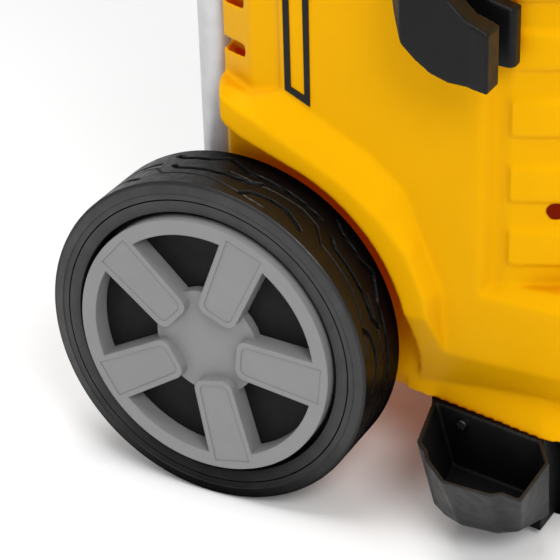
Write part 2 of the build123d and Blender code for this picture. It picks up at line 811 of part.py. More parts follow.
with BuildPart() as handle_tube:
    with BuildLine() as route:
        FilletPolyline(
            (-tube_x, tube_y, inner_tube_bottom_z),
            (-tube_x, tube_y, handle_top_z),
            (tube_x, tube_y, handle_top_z),
            (tube_x, tube_y, inner_tube_bottom_z),
            radius=bend_radius,
        )
    with BuildSketch(Plane.XY.offset(inner_tube_bottom_z)):
        with Locations((-tube_x, tube_y)):
            Circle(inner_tube_radius)
            Circle(inner_tube_radius - tube_wall, mode=Mode.SUBTRACT)
    sweep(path=route.wires()[0])
save(handle_tube, "handle_tube")

grip_top_z = handle_top_z + inner_tube_radius + 10.9
button_rise = 2.5
button_travel = 3.5
button_height = 8
pocket_floor_z = grip_top_z + button_rise - button_height - button_travel - 0.5
with BuildPart() as handle_grip:
    block((-grip_length / 2, grip_length / 2), (tube_y - 19, tube_y + 19), (handle_top_z - 18, grip_top_z))
    fillet(handle_grip.edges().filter_by(Axis.X), 7)
    disc_x(tube_y, handle_top_z, inner_tube_radius, -grip_length / 2, grip_length / 2, mode=Mode.SUBTRACT)
    block((-16, 16), (tube_y - 9, tube_y + 9), (pocket_floor_z, grip_top_z), mode=Mode.SUBTRACT)
save(handle_grip, "handle_grip")

with BuildPart() as release_button:
    top_z = grip_top_z + button_rise
    block((-15.6, 15.6), (tube_y - 8.6, tube_y + 8.6), (top_z - button_height, top_z), corner=2)
    fillet(release_button.faces().sort_by(Axis.Z)[-1].edges(), 1)
save(release_button, "release_button")

release_spring = coil(Plane((0, tube_y, pocket_floor_z)), 3.5, 0.4, button_travel + 0.5, 3)
save(release_spring, "release_spring")

# ---- controls ------------------------------------------------------------------------------------
switch_bottom_z = cover_top_z - wall - 30
with BuildPart() as power_knob:
    disc_z(knob_x, knob_y, knob_radius, cover_top_z + 0.5, cover_top_z + 7)
    disc_z(knob_x, knob_y, knob_radius - 4, cover_top_z + 7, cover_top_z + 9)
    ridge_half = knob_radius - 3
    ridge_top_z = cover_top_z + 21
    block((knob_x - 5, knob_x + 5), (knob_y - ridge_half, knob_y + ridge_half), (cover_top_z + 7, ridge_top_z))
    chamfer(power_knob.faces().sort_by(Axis.Z)[-1].edges(), 1.5)
    disc_z(knob_x, knob_y, stem_radius, switch_bottom_z + 6, cover_top_z + 1)
save(power_knob, "power_knob")

with BuildPart() as switch_body:
    switch_top_z = cover_top_z - wall - 0.1
    block((knob_x - 19, knob_x + 19), (knob_y - 19, knob_y + 19), (switch_bottom_z, switch_top_z), corner=2)
    disc_z(knob_x, knob_y, stem_radius + running_gap, switch_bottom_z + 5, cover_top_z, mode=Mode.SUBTRACT)
save(switch_body, "switch_body")

tank_top_z = housing_top_z - 60
with BuildPart() as detergent_tank:
    tank_front_y = panel_end_y + 12
    tank_rear_y = motor_y - can_radius - motor_clearance
    tank_floor_z = body_bottom_z + wall
    block((tank_low_x, tank_high_x), (tank_front_y, tank_rear_y), (tank_floor_z, tank_top_z), corner=8)
    neck_top_z = cover_top_z + 9
    disc_z(cap_x, cap_y, neck_radius, tank_top_z - 1, neck_top_z)
    block(
        (tank_low_x + tank_wall, tank_high_x - tank_wall),
        (tank_front_y + tank_wall, tank_rear_y - tank_wall),
        (tank_floor_z + tank_wall, tank_top_z - tank_wall),
        mode=Mode.SUBTRACT,
        corner=6,
    )
    disc_z(cap_x, cap_y, neck_radius - tank_wall, tank_top_z - 5, neck_top_z, mode=Mode.SUBTRACT)
save(detergent_tank, "detergent_tank")

with BuildPart() as tank_cap:
    cap_low_z = cover_top_z + 0.6
    disc_z(cap_x, cap_y, cap_radius, cap_low_z, neck_top_z + 5)
    fillet(tank_cap.faces().sort_by(Axis.Z)[-1].edges(), 2)
    with BuildSketch(Plane.XY.offset(cap_low_z)) as flutes:
        with Locations((cap_x, cap_y)):
            with PolarLocations(cap_radius + 1, 14):
                Circle(2)
    extrude(flutes.sketch, amount=neck_top_z + 1 - cap_low_z, mode=Mode.SUBTRACT)
    disc_z(cap_x, cap_y, neck_radius + wall_play, cap_low_z, neck_top_z + 1, mode=Mode.SUBTRACT)
save(tank_cap, "tank_cap")

# ---- cord hooks, gland and housing screws ---------------------------------------------------------
def hook_shape(z, direction):
    """A post that stands out of the side, with a flat arm across its end."""
    disc_x(hook_y, z, hook_post_radius, wall_x + wall_play, reach_half - hook_arm)
    with BuildSketch(Plane.YZ.offset(reach_half - hook_arm)) as arm:
        with Locations((hook_y, z + direction * hook_length / 2)):
            SlotOverall(hook_length + 2 * hook_post_radius, 2 * hook_post_radius, rotation=90)
    extrude(arm.sketch, amount=hook_arm)


with BuildPart() as cord_hook_lower:
    hook_shape(hook_low_z, -1)
    fillet(cord_hook_lower.faces().sort_by(Axis.X)[-1].edges(), 3)
    disc_x(hook_y, hook_low_z, hook_post_radius - 3, wall_x, wall_x + wall_play)
save(cord_hook_lower, "cord_hook_lower")

with BuildPart() as cord_hook_upper:
    hook_shape(hook_high_z, 1)
    fillet(cord_hook_upper.faces().sort_by(Axis.X)[-1].edges(), 3)
    stud_end = reach_half - hook_arm - 10
    disc_x(hook_y, hook_high_z, hook_stud_radius + running_gap, wall_x, stud_end + 0.4, mode=Mode.SUBTRACT)
save(cord_hook_upper, "cord_hook_upper")

with BuildPart() as cable_gland:
    gland_radius = 8
    disc_y(gland_x, gland_z, gland_radius, rear_wall_y - 6, rear_wall_y + 14)
    disc_y(gland_x, gland_z, gland_radius + 4, rear_wall_y, rear_wall_y + 5)
    disc_y(gland_x, gland_z, 4, rear_wall_y - 7, rear_wall_y + 15, mode=Mode.SUBTRACT)
save(cable_gland, "cable_gland")

with BuildPart() as housing_screws:
    for place in boss_places:
        disc_x(place[0], place[1], screw_radius, -18, screw_seat_x)
        disc_x(place[0], place[1], screw_head_radius, screw_seat_x, screw_seat_x + 2.5)
save(housing_screws, "housing_screws")

# ---- pump ----------------------------------------------------------------------------------------
manifold_bottom_z = pump_bottom_z - 40
rubber_height = 6
with BuildPart() as pump_bracket:
    plate_x = 48
    plate_thickness = 3
    depth = (motor_y - 45, motor_y + 45)
    foot_low_z = body_bottom_z + wall + rubber_height
    block((-plate_x, plate_x), depth, (manifold_bottom_z - plate_thickness, manifold_bottom_z))
    for side in (-1, 1):
        leg = sorted((side * plate_x, side * (plate_x - plate_thickness)))
        foot = sorted((side * (plate_x - plate_thickness), side * (plate_x + 18)))
        block((leg[0], leg[1]), depth, (foot_low_z, manifold_bottom_z))
        block((foot[0], foot[1]), depth, (foot_low_z, foot_low_z + plate_thickness))
save(pump_bracket, "pump_bracket")

with BuildPart() as rubber_mounts:
    for x in (-plate_x - 9, plate_x + 9):
        for y in (motor_y - 34, motor_y + 34):
            disc_z(x, y, 8, body_bottom_z + wall, foot_low_z)
save(rubber_mounts, "rubber_mounts")

with BuildPart() as pump_manifold:
    block((-46, 46), (motor_y - 42, motor_y + 42), (manifold_bottom_z, pump_bottom_z), corner=5)
    for x in (inlet_x, outlet_x):
        disc_y(x, port_z, 9, motor_y + 30, motor_y + 42, mode=Mode.SUBTRACT)
save(pump_manifold, "pump_manifold")

port_end_y = rear_wall_y + 36
inlet_radius = 13.2
outlet_radius = 11
with BuildPart() as water_inlet:
    disc_y(inlet_x, port_z, 9, motor_y + 30, rear_wall_y)
    disc_y(inlet_x, port_z, collar_radius, rear_wall_y - 5, rear_wall_y + 6)
    disc_y(inlet_x, port_z, inlet_radius, rear_wall_y + 6, port_end_y)
    disc_y(inlet_x, port_z, 7, rear_wall_y - 20, port_end_y, mode=Mode.SUBTRACT)
save(water_inlet, "water_inlet")

with BuildPart() as water_outlet:
    disc_y(outlet_x, port_z, 9, motor_y + 30, rear_wall_y)
    disc_y(outlet_x, port_z, collar_radius, rear_wall_y - 5, rear_wall_y + 6)
    disc_y(outlet_x, port_z, outlet_radius, rear_wall_y + 6, port_end_y)
    disc_y(outlet_x, port_z, 5, rear_wall_y - 20, port_end_y, mode=Mode.SUBTRACT)
save(water_outlet, "water_outlet")

with BuildPart() as unloader_valve:
    disc_x(motor_y - 18, port_z, 12, 46, 66)
    disc_x(motor_y - 18, port_z, 8, 66, 78)
save(unloader_valve, "unloader_valve")

with BuildPart() as pressure_switch:
    block((-74, -46), (motor_y - 34, motor_y - 4), (port_z - 11, port_z + 13), corner=2)
save(pressure_switch, "pressure_switch")

piston_angles = [90 + i * 360 / piston_count for i in range(piston_count)]
piston_centres = [
    (piston_circle * cos(radians(a)), motor_y + piston_circle * sin(radians(a))) for a in piston_angles
]
pump_floor_z = pump_bottom_z + 25
pump_top_z = pump_bottom_z + pump_height
swash_z = pump_top_z - 17
swash_sweep = swash_radius * sin(radians(swash_tilt)) + 4
piston_top_z = swash_z - swash_sweep - 0.8
collar_height = 4
with BuildPart() as pump_body:
    disc_z(0, motor_y, pump_radius, pump_bottom_z, pump_top_z)
    disc_z(0, motor_y, pump_radius - 8, pump_floor_z, pump_top_z, mode=Mode.SUBTRACT)
    for centre in piston_centres:
        bore_radius = piston_radius + running_gap
        disc_z(centre[0], centre[1], bore_radius, pump_bottom_z + 3, pump_floor_z, mode=Mode.SUBTRACT)
save(pump_body, "pump_body")

for i, centre in enumerate(piston_centres):
    number = str(i + 1)
    with BuildPart() as piston:
        disc_z(centre[0], centre[1], piston_radius, pump_bottom_z + 3.5 + piston_stroke, piston_top_z)
        disc_z(centre[0], centre[1], piston_radius + 3, piston_top_z - collar_height, piston_top_z)
    save(piston, "piston_" + number)
    spring_length = piston_top_z - collar_height - pump_floor_z
    spring = coil(Plane((centre[0], centre[1], pump_floor_z)), piston_radius + 1.7, 0.6, spring_length, 6)
    save(spring, "piston_spring_" + number)

with BuildPart() as swash_plate:
    tilted = Plane((0, motor_y, swash_z), z_dir=(sin(radians(swash_tilt)), 0, cos(radians(swash_tilt))))
    disc(tilted.offset(-4), (0, 0), swash_radius, 8)
    disc_z(0, motor_y, shaft_radius + 5, swash_z, pump_top_z - 1)
    disc_z(0, motor_y, shaft_radius, swash_z - 3, pump_top_z, mode=Mode.SUBTRACT)
save(swash_plate, "swash_plate")

# ---- motor ---------------------------------------------------------------------------------------
can_bottom_z = pump_top_z + bell_height
can_top_z = can_bottom_z + can_height
bell_floor = 1.5
bell_low_z = {"lower_bell": pump_top_z, "upper_bell": can_top_z}
for name, low in bell_low_z.items():
    with BuildPart() as bell:
        disc_z(0, motor_y, can_radius, low, low + bell_height)
        disc_z(0, motor_y, bearing_radius, low + bell_floor, low + bell_height, mode=Mode.SUBTRACT)
        disc_z(0, motor_y, shaft_radius + 2, low - 1, low + 2, mode=Mode.SUBTRACT)
    save(bell, name)

with BuildPart() as bearings:
    for low in bell_low_z.values():
        base = low + bell_floor
        disc_z(0, motor_y, bearing_radius, base, base + bearing_height, bore=shaft_radius + running_gap)
save(bearings, "bearings")

with BuildPart() as motor_can:
    disc_z(0, motor_y, can_radius, can_bottom_z, can_top_z, bore=can_radius - can_wall)
save(motor_can, "motor_can")

stator_low_z = can_bottom_z + 16
stator_high_z = can_top_z - 16
with BuildPart() as stator:
    disc_z(0, motor_y, can_radius - can_wall, stator_low_z, stator_high_z, bore=rotor_radius + air_gap)
save(stator, "stator")

with BuildPart() as rotor_core:
    disc_z(0, motor_y, rotor_radius, stator_low_z + 2, stator_high_z - 2, bore=shaft_radius)
save(rotor_core, "rotor_core")

fan_low_z = can_top_z + bell_height + 4
fan_high_z = fan_low_z + fan_height
with BuildPart() as motor_shaft:
    disc_z(0, motor_y, shaft_radius, swash_z - 3, fan_high_z + 2)
save(motor_shaft, "motor_shaft")

with BuildPart() as cooling_fan:
    with BuildSketch(Plane.XY.offset(fan_low_z)) as blades:
        with Locations((0, motor_y)):
            with PolarLocations(fan_hub_radius + fan_blade / 2 - 3, fan_blade_count):
                Rectangle(fan_blade, 2.4)
    extrude(blades.sketch, amount=fan_height)
    disc_z(0, motor_y, fan_hub_radius, fan_low_z, fan_high_z)
    disc_z(0, motor_y, shaft_radius, fan_low_z - 1, fan_high_z + 1, mode=Mode.SUBTRACT)
save(cooling_fan, "cooling_fan")

with BuildPart() as fan_cowl:
    cowl_top_z = fan_high_z + 8
    disc_z(0, motor_y, can_radius + 2.5, can_top_z - 8, cowl_top_z, bore=can_radius)
    disc_z(0, motor_y, can_radius + 2.5, cowl_top_z, cowl_top_z + 2)
    with BuildSketch(Plane.XY.offset(cowl_top_z - 1)) as holes:
        with Locations((0, motor_y)):
            with PolarLocations(36, 12):
                SlotOverall(30, 7)
    extrude(holes.sketch, amount=4, mode=Mode.SUBTRACT)
save(fan_cowl, "fan_cowl")

with BuildPart() as capacitor:
    reach = can_radius + 21
    centre = (reach * cos(radians(45)), motor_y + reach * sin(radians(45)))
    disc_z(centre[0], centre[1], 20, can_bottom_z + 10, can_top_z - 10)
    disc_z(centre[0], centre[1], 21, can_bottom_z + 40, can_bottom_z + 55)
save(capacitor, "capacitor")
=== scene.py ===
import json
import math
import bmesh
import bpy
import numpy as np
from mathutils import Matrix, Vector


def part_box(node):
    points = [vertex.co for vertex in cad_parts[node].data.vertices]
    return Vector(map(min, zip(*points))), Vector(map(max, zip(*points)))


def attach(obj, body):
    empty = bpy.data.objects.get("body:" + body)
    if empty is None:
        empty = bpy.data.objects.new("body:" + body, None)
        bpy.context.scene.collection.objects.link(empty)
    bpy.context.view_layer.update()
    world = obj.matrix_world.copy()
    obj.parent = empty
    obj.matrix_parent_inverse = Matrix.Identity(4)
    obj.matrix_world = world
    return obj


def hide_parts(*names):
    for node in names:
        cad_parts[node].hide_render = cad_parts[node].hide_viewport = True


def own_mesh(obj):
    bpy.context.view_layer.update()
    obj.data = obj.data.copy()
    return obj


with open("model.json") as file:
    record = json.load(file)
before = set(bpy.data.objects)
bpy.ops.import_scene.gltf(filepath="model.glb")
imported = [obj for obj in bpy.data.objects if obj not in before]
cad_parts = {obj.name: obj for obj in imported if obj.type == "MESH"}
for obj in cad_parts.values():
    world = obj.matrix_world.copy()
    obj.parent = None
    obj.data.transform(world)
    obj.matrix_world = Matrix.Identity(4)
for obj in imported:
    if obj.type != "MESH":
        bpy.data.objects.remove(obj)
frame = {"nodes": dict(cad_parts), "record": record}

MM = 0.001
SCENE = bpy.context.scene
NODES = frame["nodes"]
BODY_OF = {n: b for b, nodes in frame["record"]["behaviour"]["bodies"].items() for n in nodes}
SLOT_OF = {s["node"]: s["material_slot"] for s in frame["record"]["subparts"]}
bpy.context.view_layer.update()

# ---- places read from the frame ------------------------------------------------------------------
CAP_LOW, CAP_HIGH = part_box("left_hub_cap")
HUB = Vector((CAP_LOW.x, (CAP_LOW.y + CAP_HIGH.y) / 2, (CAP_LOW.z + CAP_HIGH.z) / 2))
TYRE_LOW, TYRE_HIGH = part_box("left_tyre")
TYRE_RADIUS = (TYRE_HIGH.z - TYRE_LOW.z) / 2


# ---- camera, light and floor ---------------------------------------------------------------------
CAMERA_TURN = (-61.32, 29.4, -1.84)     # azimuth, elevation and roll, in degrees
CAMERA_FROM_HUB = Vector((-1.1884, -0.71472, 0.83344))
CAMERA_LENS = 146.7
SENSOR_WIDTH = 36
SKY_STRENGTH = 0.62
FLOOR_HALF = 12
FLOOR_Z = -0.0005                       # just under the feet, so that nothing shares its plane


def camera():
    """A long lens that looks down at the left wheel from the front left."""
    azimuth, elevation, roll = (math.radians(a) for a in CAMERA_TURN)
    back = Vector((
        math.sin(azimuth) * math.cos(elevation),
        -math.cos(azimuth) * math.cos(elevation),
        math.sin(elevation),
    ))
    level = Vector((0, 0, 1)).cross(back).normalized()
    upright = back.cross(level)
    right = math.cos(roll) * level + math.sin(roll) * upright
    up = -math.sin(roll) * level + math.cos(roll) * upright
    data = bpy.data.cameras.new("camera")
    data.lens = CAMERA_LENS
    data.sensor_width = SENSOR_WIDTH
    data.clip_end = 50
    cam = bpy.data.objects.new("camera", data)
    SCENE.collection.objects.link(cam)
    turn = Matrix((right, up, back)).transposed().to_4x4()
    cam.matrix_world = Matrix.Translation(HUB + CAMERA_FROM_HUB) @ turn
    SCENE.camera = cam


def area_light(name, place, target, size, watts):
    """A round soft light at a place, turned to its target."""
    data = bpy.data.lights.new(name, "AREA")
    data.shape = "DISK"
    data.size = size
    data.energy = watts
    lamp = bpy.data.objects.new(name, data)
    SCENE.collection.objects.link(lamp)
    lamp.location = place
    lamp.rotation_euler = (Vector(target) - Vector(place)).to_track_quat("-Z", "Y").to_euler()


def studio():
    """White surroundings and three soft lights."""
    world = bpy.data.worlds.new("studio")
    world.use_nodes = True
    sky = world.node_tree.nodes["Background"]
    sky.inputs["Color"].default_value = (1, 1, 1, 1)
    sky.inputs["Strength"].default_value = SKY_STRENGTH
    SCENE.world = world
    area_light("key", (-1.5, -1.35, 1.9), (-0.1, -0.1, 0.25), 1.0, 31)
    area_light("top", (-0.4, 0.2, 2.6), (-0.1, 0, 0.2), 1.4, 34)
    area_light("fill", (-2.4, 0.2, 0.9), (-0.1, 0, 0.2), 1.2, 8)
    SCENE.view_settings.view_transform = "Standard"


def floor():
    """A plain pale floor."""
    mesh = bpy.data.meshes.new("floor")
    corners = [(x * FLOOR_HALF, y * FLOOR_HALF, 0) for x, y in ((-1, -1), (1, -1), (1, 1), (-1, 1))]
    mesh.from_pydata(corners, [], [(0, 1, 2, 3)])
    ground = bpy.data.objects.new("floor", mesh)
    SCENE.collection.objects.link(ground)
    ground.location.z = FLOOR_Z
    paint = bpy.data.materials.new("floor_paint")
    paint.use_nodes = True
    shader = paint.node_tree.nodes["Principled BSDF"]
    shader.inputs["Base Color"].default_value = (0.9, 0.9, 0.9, 1)
    shader.inputs["Roughness"].default_value = 0.9
    mesh.materials.append(paint)


camera()
studio()
floor()


# ---- materials -----------------------------------------------------------------------------------
class Paint:
    """A node material built up step by step."""

    def __init__(self, name, colour, roughness, metallic=0.0):
        self.material = bpy.data.materials.new(name)
        self.material.use_nodes = True
        self.tree = self.material.node_tree
        self.shader = self.tree.nodes["Principled BSDF"]
        self.shader.inputs["Base Color"].default_value = (*colour, 1)
        self.shader.inputs["Roughness"].default_value = roughness
        self.shader.inputs["Metallic"].default_value = metallic
        self.place = self.node("ShaderNodeTexCoord").outputs["Object"]
        self.normal = None

    def node(self, kind, **values):
        """A new node with its settings."""
        made = self.tree.nodes.new(kind)
        for key, value in values.items():
            setattr(made, key, value)
        return made

    def link(self, out, into):
        self.tree.links.new(out, into)

    def noise(self, size_mm, detail=2.0, stretch=(1, 1, 1)):
        """Noise of one size, longer along an axis whose stretch is below 1."""
        mapping = self.node("ShaderNodeMapping")
        mapping.inputs["Scale"].default_value = stretch
        self.link(self.place, mapping.inputs["Vector"])
        made = self.node("ShaderNodeTexNoise")
        made.inputs["Scale"].default_value = 1 / (size_mm * MM)
        made.inputs["Detail"].default_value = detail
        self.link(mapping.outputs["Vector"], made.inputs["Vector"])
        return made.outputs["Fac"]

    def ramp(self, fac, low, high, first=0.35, last=0.65):
        """Goes from low to high while the input goes from first to last."""
        made = self.node("ShaderNodeMapRange")
        made.inputs["From Min"].default_value = first
        made.inputs["From Max"].default_value = last
        made.inputs["To Min"].default_value = low
        made.inputs["To Max"].default_value = high
        self.link(fac, made.inputs["Value"])
        return made.outputs["Result"]

    def blend(self, fac, one, two):
        """A colour between two, each of which is a colour or a socket."""
        made = self.node("ShaderNodeMix", data_type="RGBA")
        for socket, value in ((made.inputs[6], one), (made.inputs[7], two)):
            if isinstance(value, tuple):
                socket.default_value = (*value, 1)
            else:
                self.link(value, socket)
        self.link(fac, made.inputs[0])
        return made.outputs[2]

    def bump(self, height, depth_mm):
        """Fine relief on top of the normal so far."""
        made = self.node("ShaderNodeBump")
        made.inputs["Strength"].default_value = 1.0
        made.inputs["Distance"].default_value = depth_mm * MM
        self.link(height, made.inputs["Height"])
        if self.normal:
            self.link(self.normal, made.inputs["Normal"])
        self.normal = made.outputs["Normal"]

    def round_edges(self, radius_mm):
        """Catches light along sharp edges as if they were rounded."""
        made = self.node("ShaderNodeBevel", samples=4)
        made.inputs["Radius"].default_value = radius_mm * MM
        self.normal = made.outputs["Normal"]

    def hidden(self, reach_mm, low, high):
        """0 in deep gaps and 1 in the open: the mask for painted shade in gaps and for painted light in
        closed places.
        """
        made = self.node("ShaderNodeAmbientOcclusion", samples=6)
        made.inputs["Distance"].default_value = reach_mm * MM
        return self.ramp(made.outputs["AO"], 0, 1, low, high)

    def from_axle(self):
        """Distance from the line of the wheels' axle."""
        offset = self.node("ShaderNodeVectorMath", operation="SUBTRACT")
        offset.inputs[1].default_value = (0, HUB.y, HUB.z)
        self.link(self.place, offset.inputs[0])
        flat = self.node("ShaderNodeVectorMath", operation="MULTIPLY")
        flat.inputs[1].default_value = (0, 1, 1)
        self.link(offset.outputs["Vector"], flat.inputs[0])
        length = self.node("ShaderNodeVectorMath", operation="LENGTH")
        self.link(flat.outputs["Vector"], length.inputs[0])
        return length.outputs["Value"]

    def colour_from(self, socket):
        self.link(socket, self.shader.inputs["Base Color"])

    def roughness_from(self, socket):
        self.link(socket, self.shader.inputs["Roughness"])

    def done(self):
        """The finished material."""
        if self.normal:
            self.link(self.normal, self.shader.inputs["Normal"])
        return self.material


METAL_EDGE_MM = 0.3
# Reaches, in mm, of the masks for the painted shade in creases and the painted light in closed places.
CREASE_REACH_MM = 14
SEALED_REACH_MM = 300
TREAD_EDGE_MM = 0.5
TREAD_DEPTH_MM = 2.2
SHOULDER_MM = 1


def shade(colour, factor):
    """A colour made darker or lighter."""
    return tuple(min(1.0, c * factor) for c in colour)


def moulded(name, colour, roughness, grain_mm=0.5, grain_depth=0.03, edge_mm=0.8, vary=0.06, shine=0.3,
            tint=(1, 1, 1), hollow_shade=None, deep=(45, 0.08, 0.62), crease_shade=None, painted_glow=None):
    """Moulded plastic: fine grain, colour and gloss that vary a little, softened edges.

    Creases and hollows can take darker colours as painted shade, and fully closed places a painted, dim
    red light that stands in for light bouncing inside.
    """
    paint = Paint(name, colour, roughness)
    paint.shader.inputs["Specular Tint"].default_value = (*tint, 1)
    if edge_mm:
        paint.round_edges(edge_mm)
    patches = paint.noise(35, 3)
    tone_and_shade = paint.blend(paint.ramp(patches, 0, 1), shade(colour, 1 - vary), shade(colour, 1 + vary))
    # Painted shade: creases take the darker crease colour.
    if crease_shade:
        tone_and_shade = paint.blend(paint.hidden(CREASE_REACH_MM, 0.45, 0.95), crease_shade, tone_and_shade)
    # Painted shade: hollows take the hollow colour and lose most of their shine.
    if hollow_shade:
        open_air = paint.hidden(*deep)
        tone_and_shade = paint.blend(open_air, hollow_shade, tone_and_shade)
        paint.link(paint.ramp(open_air, 0, shine, 0, 1), paint.shader.inputs["Specular IOR Level"])
        # Painted light: fully closed places give off a dim red light, standing in for light bouncing
        # inside the yellow shell.
        if painted_glow:
            outside = paint.hidden(SEALED_REACH_MM, 0, 0.04)
            paint.link(paint.blend(outside, painted_glow, (0, 0, 0)), paint.shader.inputs["Emission Color"])
            paint.shader.inputs["Emission Strength"].default_value = 1
    else:
        paint.shader.inputs["Specular IOR Level"].default_value = shine
    paint.colour_from(tone_and_shade)
    scuffs = paint.noise(9, 4)
    paint.roughness_from(paint.ramp(scuffs, roughness - 0.05, roughness + 0.07))
    paint.bump(paint.noise(grain_mm, 2), grain_depth)
    return paint.done()


def rubber(name, colour, roughness, grain_mm=0.8, depth=0.06, tread=None):
    """Rubber: fine grain, a little patchy dust, and painted shade in narrow gaps, where the colour goes
    almost black and almost no shine is left; a tread colour paints shade on the tread's top.
    """
    paint = Paint(name, colour, roughness)
    if tread:
        paint.round_edges(TREAD_EDGE_MM)
    dust = paint.noise(18, 4)
    open_air = paint.hidden(100, 0.5, 0.98)
    dust_and_tread_shade = paint.blend(paint.ramp(dust, 0, 1), shade(colour, 0.85), shade(colour, 1.3))
    # Painted shade: above the groove floor the tread's top takes the darker tread colour, leaving the
    # grooves lighter.
    if tread:
        groove_floor = TYRE_RADIUS - TREAD_DEPTH_MM * MM
        outer_band = paint.ramp(paint.from_axle(), 0, 1, groove_floor - SHOULDER_MM * MM, groove_floor)
        dust_and_tread_shade = paint.blend(outer_band, dust_and_tread_shade, tread)
    # Painted shade: narrow gaps take the colour almost to black and lose their shine.
    paint.colour_from(paint.blend(open_air, (0.001, 0.001, 0.001), dust_and_tread_shade))
    paint.link(paint.ramp(open_air, 0.0, 0.4, 0.15, 1), paint.shader.inputs["Specular IOR Level"])
    paint.roughness_from(paint.ramp(paint.noise(6, 3), roughness - 0.08, roughness + 0.08))
    paint.bump(paint.noise(grain_mm, 3), depth)
    return paint.done()


def metal(name, colour, roughness, stretch=(1, 1, 1), grain_mm=0.6, depth=0.01, metallic=1.0):
    """Metal with fine lines along the stretched direction and faint stains."""
    paint = Paint(name, colour, roughness, metallic)
    paint.round_edges(METAL_EDGE_MM)
    lines = paint.noise(grain_mm, 3, stretch)
    paint.roughness_from(paint.ramp(lines, roughness - 0.06, roughness + 0.1))
    stains = paint.noise(25, 3)
    paint.colour_from(paint.blend(paint.ramp(stains, 0, 1), shade(colour, 0.9), shade(colour, 1.05)))
    paint.bump(lines, depth)
    return paint.done()


YELLOW = (0.67, 0.325, 0.001)
# Painted shade colours for hollows: deep orange for the body, black for the black plastics.
HOLLOW_SHADE_ORANGE = (0.50, 0.09, 0.0)
HOLLOW_SHADE_BLACK = (0.0015, 0.0015, 0.0015)
MATERIALS = {
    "body_plastic": moulded(
        "body_plastic", YELLOW, 0.45, edge_mm=0, vary=0.012, shine=0.2, tint=(1, 0.6, 0.02),
        # Painted shade in hollows and creases, and painted light in closed places.
        hollow_shade=HOLLOW_SHADE_ORANGE, crease_shade=(0.55, 0.22, 0.0), painted_glow=(0.16, 0.006, 0.0),
    ),
    "black_plastic": moulded(
        "black_plastic", (0.005, 0.005, 0.0053), 0.40, grain_depth=0.05, shine=0.16,
        # Painted shade: hollows go black.
        hollow_shade=HOLLOW_SHADE_BLACK, deep=(60, 0.2, 0.9),
    ),
    "dark_plastic": moulded(
        "dark_plastic", (0.011, 0.011, 0.0114), 0.48, grain_depth=0.05, shine=0.22,
        # Painted shade: hollows go black.
        hollow_shade=HOLLOW_SHADE_BLACK, deep=(60, 0.25, 0.95),
    ),
    "cap_plastic": moulded("cap_plastic", (0.195, 0.195, 0.195), 0.45, vary=0.03, edge_mm=1.5),
    "wheel_plastic": moulded(
        "wheel_plastic", (0.005, 0.005, 0.005), 0.55, grain_mm=0.8, grain_depth=0.12, shine=0.15,
    ),
    # The tread colour is painted shade on the tread's top.
    "tyre_rubber": rubber("tyre_rubber", (0.020, 0.020, 0.0205), 0.40, tread=(0.003, 0.003, 0.003)),
    "foot_rubber": rubber("foot_rubber", (0.018, 0.018, 0.018), 0.7),
    "grip_rubber": rubber("grip_rubber", (0.016, 0.016, 0.016), 0.6, 1.4, 0.15),
    "tube_aluminium": metal("tube_aluminium", (0.56, 0.56, 0.57), 0.42, (1, 1, 0.03), metallic=0.45),
    "steel": metal("steel", (0.55, 0.55, 0.56), 0.25),
    "spring_steel": metal("spring_steel", (0.5, 0.5, 0.5), 0.2),
    "cast_aluminium": metal("cast_aluminium", (0.6, 0.6, 0.6), 0.5, grain_mm=1.2, depth=0.1),
    "brass": metal("brass", (0.72, 0.52, 0.22), 0.25),
    "lamination": metal("lamination", (0.3, 0.28, 0.26), 0.45, (0.1, 0.1, 8)),
    "nylon": moulded("nylon", (0.7, 0.69, 0.62), 0.45),
    "tank_plastic": moulded("tank_plastic", (0.75, 0.77, 0.75), 0.4),
    "label": moulded(
        "label", (0.009, 0.009, 0.009), 0.34, grain_mm=1, grain_depth=0.004, edge_mm=0.1, shine=0.14,
    ),
}
SHARP_ANGLE = 28
for name, item in NODES.items():
    item.data.materials.clear()
    item.data.materials.append(MATERIALS[SLOT_OF[name]])
    item.data.shade_smooth()
    item.data.set_sharp_from_angle(angle=math.radians(SHARP_ANGLE))


# ---- mesh helpers --------------------------------------------------------------------------------
def piece_from(name, mesh, body, slot, replaced):
    """Link a new piece, give it its material, put it on the body it rides on and hide the CAD node it
    stands for.
    """
    made = bpy.data.objects.new(name, mesh)
    SCENE.collection.objects.link(made)
    if not mesh.materials:
        mesh.materials.append(MATERIALS[slot])
    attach(made, body)
    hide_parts(replaced)
    return made


def apply_modifiers(item):
    """Make what the modifiers give the item's own mesh."""
    graph = bpy.context.evaluated_depsgraph_get()
    finished = bpy.data.meshes.new_from_object(item.evaluated_get(graph))
    item.modifiers.clear()
    item.data = finished


WELD_DISTANCE = 0.00001
# The front corner that carries the ribs: half its plan, from the middle to the side, in mm.
CORNER_PLAN = [(0, -198), (73.1, -198), (90.1, -184), (119, -122)]
CORNER_BACK_Y = -118
RIB_PITCH = 48
RIB_TOPS = [234 + RIB_PITCH * i for i in range(5)]
RIB_OUT = 6
RIB_BEVEL = 9                           # height of the slope along each rib's top
RIB_LIP = 0.5                           # what stands out where the slope begins


